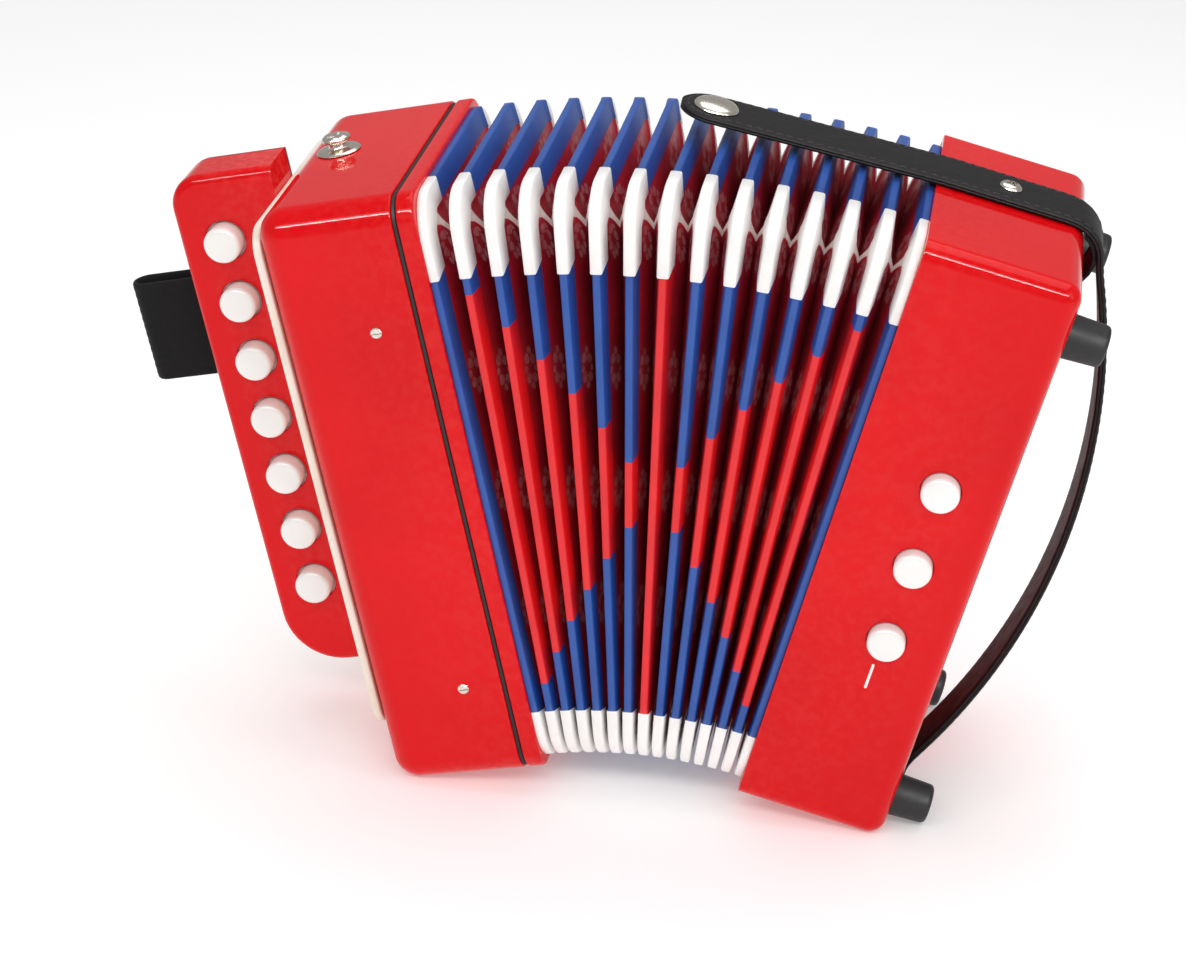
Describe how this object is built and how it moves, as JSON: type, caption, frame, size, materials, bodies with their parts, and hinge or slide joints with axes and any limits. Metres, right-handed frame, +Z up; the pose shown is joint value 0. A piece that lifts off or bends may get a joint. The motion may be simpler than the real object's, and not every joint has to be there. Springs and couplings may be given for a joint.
{
  "type": "toy button accordion",
  "caption": "Small button accordion with red boxes, a fanned taped bellows, round white treble and bass buttons, a leather hand strap and a thumb loop.",
  "frame": {"origin": "on the floor plane, under the middle of the whole object in plan; the boxes' two outer bottom edges touch Z = 0", "axes": "+X from the treble side to the bass side, +Y from the front with the buttons to the back, +Z up"},
  "size_m": [0.3327, 0.111, 0.2339],
  "materials": {
    "red_lacquer": "high gloss lacquer",
    "red_back": "satin back panel",
    "black_gasket": "matt gasket",
    "ivory_board": "satin ivory",
    "elastic": "ribbed elastic webbing",
    "nickel": "nickel plate",
    "spring_wire": "drawn wire",
    "wood": "planed softwood",
    "reed_brass": "milled",
    "white_button": "moulded, smooth",
    "lever_steel": "pressed",
    "felt": "felt faced",
    "bellows_card": "coated bookbinding tape over card",
    "foot_rubber": "satin moulded rubber",
    "strap_leather": "smooth black leather, stitched edge"
  },
  "bodies": {
    "treble_side": {"treble_bellows_frame": "red_lacquer", "bellows_end_treble": "bellows_card", "treble_seal": "black_gasket", "treble_case": "red_lacquer", "end_board": "ivory_board", "fingerboard": "red_lacquer", "fingerboard_back": "red_back", "thumb_strap": "elastic", "thumb_strap_screws": "nickel", "key_axle": "nickel", "key_springs": "spring_wire", "treble_reed_block": "wood", "treble_reed_plate": "reed_brass", "strap_stud": "nickel", "frame_pins": "nickel"},
    "treble_button_1": {"treble_button_1": "white_button"},
    "treble_lever_1": {"treble_lever_1": "lever_steel"},
    "treble_button_2": {"treble_button_2": "white_button"},
    "treble_lever_2": {"treble_lever_2": "lever_steel"},
    "treble_button_3": {"treble_button_3": "white_button"},
    "treble_lever_3": {"treble_lever_3": "lever_steel"},
    "treble_button_4": {"treble_button_4": "white_button"},
    "treble_lever_4": {"treble_lever_4": "lever_steel"},
    "treble_button_5": {"treble_button_5": "white_button"},
    "treble_lever_5": {"treble_lever_5": "lever_steel"},
    "treble_button_6": {"treble_button_6": "white_button"},
    "treble_lever_6": {"treble_lever_6": "lever_steel"},
    "treble_button_7": {"treble_button_7": "white_button"},
    "treble_lever_7": {"treble_lever_7": "lever_steel"},
    "bellows_fold_01": {"bellows_fold_01": "bellows_card"},
    "bellows_fold_02": {"bellows_fold_02": "bellows_card"},
    "bellows_fold_03": {"bellows_fold_03": "bellows_card"},
    "bellows_fold_04": {"bellows_fold_04": "bellows_card"},
    "bellows_fold_05": {"bellows_fold_05": "bellows_card"},
    "bellows_fold_06": {"bellows_fold_06": "bellows_card"},
    "bellows_fold_07": {"bellows_fold_07": "bellows_card"},
    "bellows_fold_08": {"bellows_fold_08": "bellows_card"},
    "bellows_fold_09": {"bellows_fold_09": "bellows_card"},
    "bellows_fold_10": {"bellows_fold_10": "bellows_card"},
    "bellows_fold_11": {"bellows_fold_11": "bellows_card"},
    "bellows_fold_12": {"bellows_fold_12": "bellows_card"},
    "bellows_fold_13": {"bellows_fold_13": "bellows_card"},
    "bass_side": {"bellows_end_bass": "bellows_card", "bass_bellows_frame": "wood", "bass_case": "red_lacquer", "bass_valve_board": "wood", "bass_reed_block": "wood", "bass_reed_plate": "reed_brass", "rubber_feet": "foot_rubber", "hand_strap": "strap_leather", "hand_strap_screws": "nickel"},
    "bass_button_1": {"bass_button_1": "white_button", "bass_pallet_1": "felt"},
    "bass_button_2": {"bass_button_2": "white_button", "bass_pallet_2": "felt"},
    "bass_button_3": {"bass_button_3": "white_button", "bass_pallet_3": "felt"},
    "closing_strap_root": {"closing_strap_root": "strap_leather"},
    "closing_strap": {"closing_strap": "strap_leather", "snap_cap": "nickel"}
  },
  "joints": [
    {"name": "bellows_gap_01", "type": "hinge", "parent": "bellows_fold_01", "child": "treble_side", "pos_m": [0.01042, 0.00195, -0.05302], "axis": [0, -1, 0], "range_deg": [-1.86, 0.75], "stiffness_Nm_per_rad": 5},
    {"name": "bellows_gap_02", "type": "hinge", "parent": "bellows_fold_02", "child": "bellows_fold_01", "pos_m": [0.01282, 0.00195, -0.05255], "axis": [0, -1, 0], "range_deg": [-1.86, 0.75], "stiffness_Nm_per_rad": 5},
    {"name": "bellows_gap_03", "type": "hinge", "parent": "bellows_fold_03", "child": "bellows_fold_02", "pos_m": [0.01524, 0.00195, -0.05215], "axis": [0, -1, 0], "range_deg": [-1.86, 0.75], "stiffness_Nm_per_rad": 5},
    {"name": "bellows_gap_04", "type": "hinge", "parent": "bellows_fold_04", "child": "bellows_fold_03", "pos_m": [0.01767, 0.00195, -0.05184], "axis": [0, -1, 0], "range_deg": [-1.86, 0.75], "stiffness_Nm_per_rad": 5},
    {"name": "bellows_gap_05", "type": "hinge", "parent": "bellows_fold_05", "child": "bellows_fold_04", "pos_m": [0.0201, 0.00195, -0.0516], "axis": [0, -1, 0], "range_deg": [-1.86, 0.75], "stiffness_Nm_per_rad": 5},
    {"name": "bellows_gap_06", "type": "hinge", "parent": "bellows_fold_06", "child": "bellows_fold_05", "pos_m": [0.02255, 0.00195, -0.05144], "axis": [0, -1, 0], "range_deg": [-1.86, 0.75], "stiffness_Nm_per_rad": 5},
    {"name": "bellows_gap_07", "type": "hinge", "parent": "bellows_fold_07", "child": "bellows_fold_06", "pos_m": [0.025, 0.00195, -0.05136], "axis": [0, -1, 0], "range_deg": [-1.86, 0.75], "stiffness_Nm_per_rad": 5},
    {"name": "bellows_gap_08", "type": "hinge", "parent": "bellows_fold_07", "child": "bellows_fold_08", "pos_m": [0.02745, 0.00195, -0.05136], "axis": [0, 1, 0], "range_deg": [-1.86, 0.75], "stiffness_Nm_per_rad": 5},
    {"name": "bellows_gap_09", "type": "hinge", "parent": "bellows_fold_08", "child": "bellows_fold_09", "pos_m": [0.0299, 0.00195, -0.05144], "axis": [0, 1, 0], "range_deg": [-1.86, 0.75], "stiffness_Nm_per_rad": 5},
    {"name": "bellows_gap_10", "type": "hinge", "parent": "bellows_fold_09", "child": "bellows_fold_10", "pos_m": [0.03234, 0.00195, -0.0516], "axis": [0, 1, 0], "range_deg": [-1.86, 0.75], "stiffness_Nm_per_rad": 5},
    {"name": "bellows_gap_11", "type": "hinge", "parent": "bellows_fold_10", "child": "bellows_fold_11", "pos_m": [0.03478, 0.00195, -0.05184], "axis": [0, 1, 0], "range_deg": [-1.86, 0.75], "stiffness_Nm_per_rad": 5},
    {"name": "bellows_gap_12", "type": "hinge", "parent": "bellows_fold_11", "child": "bellows_fold_12", "pos_m": [0.03721, 0.00195, -0.05215], "axis": [0, 1, 0], "range_deg": [-1.86, 0.75], "stiffness_Nm_per_rad": 5},
    {"name": "bellows_gap_13", "type": "hinge", "parent": "bellows_fold_12", "child": "bellows_fold_13", "pos_m": [0.03963, 0.00195, -0.05255], "axis": [0, 1, 0], "range_deg": [-1.86, 0.75], "stiffness_Nm_per_rad": 5},
    {"name": "bellows_gap_14", "type": "hinge", "parent": "bellows_fold_13", "child": "bass_side", "pos_m": [0.04203, 0.00195, -0.05302], "axis": [0, 1, 0], "range_deg": [-1.86, 0.75], "stiffness_Nm_per_rad": 5},
    {"name": "treble_button_1_press", "type": "slide", "parent": "treble_side", "child": "treble_button_1", "axis": [0, 1, 0], "range_m": [0, 0.003], "stiffness_N_per_m": 150, "springref_m": -0.002},
    {"name": "treble_lever_1_turn", "type": "hinge", "parent": "treble_side", "child": "treble_lever_1", "pos_m": [-0.07987, 0.00295, 0.05742], "axis": [0.225, 0, -0.9744], "range_deg": [0, 10.5]},
    {"name": "treble_button_2_press", "type": "slide", "parent": "treble_side", "child": "treble_button_2", "axis": [0, 1, 0], "range_m": [0, 0.003], "stiffness_N_per_m": 150, "springref_m": -0.002},
    {"name": "treble_lever_2_turn", "type": "hinge", "parent": "treble_side", "child": "treble_lever_2", "pos_m": [-0.08468, 0.00295, 0.07827], "axis": [0.225, 0, -0.9744], "range_deg": [0, 10.5]},
    {"name": "treble_button_3_press", "type": "slide", "parent": "treble_side", "child": "treble_button_3", "axis": [0, 1, 0], "range_m": [0, 0.003], "stiffness_N_per_m": 150, "springref_m": -0.002},
    {"name": "treble_lever_3_turn", "type": "hinge", "parent": "treble_side", "child": "treble_lever_3", "pos_m": [-0.0895, 0.00295, 0.09912], "axis": [0.225, 0, -0.9744], "range_deg": [0, 10.5]},
    {"name": "treble_button_4_press", "type": "slide", "parent": "treble_side", "child": "treble_button_4", "axis": [0, 1, 0], "range_m": [0, 0.003], "stiffness_N_per_m": 150, "springref_m": -0.002},
    {"name": "treble_lever_4_turn", "type": "hinge", "parent": "treble_side", "child": "treble_lever_4", "pos_m": [-0.09431, 0.00295, 0.11997], "axis": [0.225, 0, -0.9744], "range_deg": [0, 10.5]},
    {"name": "treble_button_5_press", "type": "slide", "parent": "treble_side", "child": "treble_button_5", "axis": [0, 1, 0], "range_m": [0, 0.003], "stiffness_N_per_m": 150, "springref_m": -0.002},
    {"name": "treble_lever_5_turn", "type": "hinge", "parent": "treble_side", "child": "treble_lever_5", "pos_m": [-0.09912, 0.00295, 0.14083], "axis": [0.225, 0, -0.9744], "range_deg": [0, 10.5]},
    {"name": "treble_button_6_press", "type": "slide", "parent": "treble_side", "child": "treble_button_6", "axis": [0, 1, 0], "range_m": [0, 0.003], "stiffness_N_per_m": 150, "springref_m": -0.002},
    {"name": "treble_lever_6_turn", "type": "hinge", "parent": "treble_side", "child": "treble_lever_6", "pos_m": [-0.10394, 0.00295, 0.16168], "axis": [0.225, 0, -0.9744], "range_deg": [0, 10.5]},
    {"name": "treble_button_7_press", "type": "slide", "parent": "treble_side", "child": "treble_button_7", "axis": [0, 1, 0], "range_m": [0, 0.003], "stiffness_N_per_m": 150, "springref_m": -0.002},
    {"name": "treble_lever_7_turn", "type": "hinge", "parent": "treble_side", "child": "treble_lever_7", "pos_m": [-0.10875, 0.00295, 0.18253], "axis": [0.225, 0, -0.9744], "range_deg": [0, 10.5]},
    {"name": "bass_button_1_press", "type": "slide", "parent": "bass_side", "child": "bass_button_1", "axis": [0, 1, 0], "range_m": [0, 0.003], "stiffness_N_per_m": 200, "springref_m": -0.002},
    {"name": "bass_button_2_press", "type": "slide", "parent": "bass_side", "child": "bass_button_2", "axis": [0, 1, 0], "range_m": [0, 0.003], "stiffness_N_per_m": 200, "springref_m": -0.002},
    {"name": "bass_button_3_press", "type": "slide", "parent": "bass_side", "child": "bass_button_3", "axis": [0, 1, 0], "range_m": [0, 0.003], "stiffness_N_per_m": 200, "springref_m": -0.002},
    {"name": "closing_strap_rise", "type": "hinge", "parent": "bass_side", "child": "closing_strap_root", "pos_m": [0.10832, 0.01195, 0.21465], "axis": [0, 1, 0], "range_deg": [-3.49, 8.64]},
    {"name": "closing_strap_lift", "type": "hinge", "parent": "closing_strap_root", "child": "closing_strap", "pos_m": [0.08909, 0.01195, 0.22065], "axis": [0, 1, 0], "range_deg": [0, 75]}
  ],
  "couplings": [
    {"joint": "bellows_gap_01", "follows": "bellows_gap_14", "ratio": 1},
    {"joint": "bellows_gap_02", "follows": "bellows_gap_14", "ratio": 1},
    {"joint": "bellows_gap_03", "follows": "bellows_gap_14", "ratio": 1},
    {"joint": "bellows_gap_04", "follows": "bellows_gap_14", "ratio": 1},
    {"joint": "bellows_gap_05", "follows": "bellows_gap_14", "ratio": 1},
    {"joint": "bellows_gap_06", "follows": "bellows_gap_14", "ratio": 1},
    {"joint": "bellows_gap_07", "follows": "bellows_gap_14", "ratio": 1},
    {"joint": "bellows_gap_08", "follows": "bellows_gap_14", "ratio": 1},
    {"joint": "bellows_gap_09", "follows": "bellows_gap_14", "ratio": 1},
    {"joint": "bellows_gap_10", "follows": "bellows_gap_14", "ratio": 1},
    {"joint": "bellows_gap_11", "follows": "bellows_gap_14", "ratio": 1},
    {"joint": "bellows_gap_12", "follows": "bellows_gap_14", "ratio": 1},
    {"joint": "bellows_gap_13", "follows": "bellows_gap_14", "ratio": 1},
    {"joint": "treble_lever_1_turn", "follows": "treble_button_1_press", "rad_per_m": 61.087},
    {"joint": "treble_lever_2_turn", "follows": "treble_button_2_press", "rad_per_m": 61.087},
    {"joint": "treble_lever_3_turn", "follows": "treble_button_3_press", "rad_per_m": 61.087},
    {"joint": "treble_lever_4_turn", "follows": "treble_button_4_press", "rad_per_m": 61.087},
    {"joint": "treble_lever_5_turn", "follows": "treble_button_5_press", "rad_per_m": 61.087},
    {"joint": "treble_lever_6_turn", "follows": "treble_button_6_press", "rad_per_m": 61.087},
    {"joint": "treble_lever_7_turn", "follows": "treble_button_7_press", "rad_per_m": 61.087},
    {"joint": "closing_strap_rise", "follows": "bellows_gap_14", "ratio": -4.65}
  ]
}
